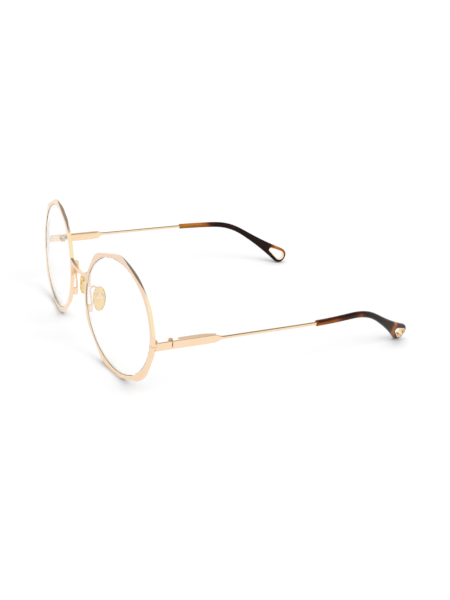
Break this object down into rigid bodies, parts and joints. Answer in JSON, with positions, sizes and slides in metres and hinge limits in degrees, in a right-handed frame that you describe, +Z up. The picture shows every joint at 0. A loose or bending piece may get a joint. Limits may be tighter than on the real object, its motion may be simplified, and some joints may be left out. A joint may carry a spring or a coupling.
{
  "type": "spectacles",
  "caption": "Thin gold metal spectacle frame with round clear lenses in soft-cornered faceted rims, sprung folding temples, tortoise tips with a drop-shaped eye, and rocking nose pads.",
  "frame": {"origin": "centre of the footprint's bounding box on the floor that the rims and the temple tips stand on", "axes": "+Z up, +X to the wearer's left, -Y the way the lenses face, temples open along +Y"},
  "size_m": [0.14, 0.1558, 0.0567],
  "materials": {
    "gold_metal": "polished pale gold plating",
    "gold_screw": "polished gold plating",
    "hinge_steel": "machined",
    "spring_steel": "drawn wire",
    "clear_lens": "clear, polished",
    "tortoise_acetate": "polished tortoise pattern, amber to near black",
    "honey_pad": "translucent honey"
  },
  "bodies": {
    "front": {"bridge": "gold_metal", "left_rim": "gold_metal", "left_lens": "clear_lens", "left_closing_screw": "gold_screw", "left_end_piece": "gold_metal", "left_hinge_screw": "gold_screw", "left_pad_arm": "gold_metal", "left_pad_box": "gold_metal", "left_pad_screw": "gold_screw", "right_rim": "gold_metal", "right_lens": "clear_lens", "right_closing_screw": "gold_screw", "right_end_piece": "gold_metal", "right_hinge_screw": "gold_screw", "right_pad_arm": "gold_metal", "right_pad_box": "gold_metal", "right_pad_screw": "gold_screw"},
    "left_slider": {"left_hinge_slider": "hinge_steel"},
    "left_temple": {"left_temple_bar": "gold_metal", "left_temple_tip": "tortoise_acetate", "left_tip_eyelet": "gold_metal", "left_spring_housing": "gold_metal", "left_spring_stop": "hinge_steel", "left_hinge_spring": "spring_steel"},
    "left_pad": {"left_nose_pad": "honey_pad"},
    "right_slider": {"right_hinge_slider": "hinge_steel"},
    "right_temple": {"right_temple_bar": "gold_metal", "right_temple_tip": "tortoise_acetate", "right_tip_eyelet": "gold_metal", "right_spring_housing": "gold_metal", "right_spring_stop": "hinge_steel", "right_hinge_spring": "spring_steel"},
    "right_pad": {"right_nose_pad": "honey_pad"}
  },
  "joints": [
    {"name": "left_temple_fold", "type": "hinge", "parent": "front", "child": "left_slider", "pos_m": [0.06549, -0.06154, 0.02588], "axis": [0.0003, 0.015, 0.9999], "range_deg": [-8, 88]},
    {"name": "left_spring_slide", "type": "slide", "parent": "left_slider", "child": "left_temple", "axis": [0.0201, 0.9997, -0.015], "range_m": [0, 0.001], "stiffness_N_per_m": 1500, "springref_m": -0.001},
    {"name": "left_pad_rock", "type": "hinge", "parent": "front", "child": "left_pad", "pos_m": [0.0109, -0.07054, 0.02546], "axis": [0.2756, 0.9613, 0], "range_deg": [-8, 8]},
    {"name": "right_temple_fold", "type": "hinge", "parent": "front", "child": "right_slider", "pos_m": [-0.06549, -0.06154, 0.02588], "axis": [0.0003, -0.015, -0.9999], "range_deg": [-8, 82]},
    {"name": "right_spring_slide", "type": "slide", "parent": "right_slider", "child": "right_temple", "axis": [-0.0201, 0.9997, -0.015], "range_m": [0, 0.001], "stiffness_N_per_m": 1500, "springref_m": -0.001},
    {"name": "right_pad_rock", "type": "hinge", "parent": "front", "child": "right_pad", "pos_m": [-0.0109, -0.07054, 0.02546], "axis": [0.2756, -0.9613, 0], "range_deg": [-8, 8]}
  ]
}
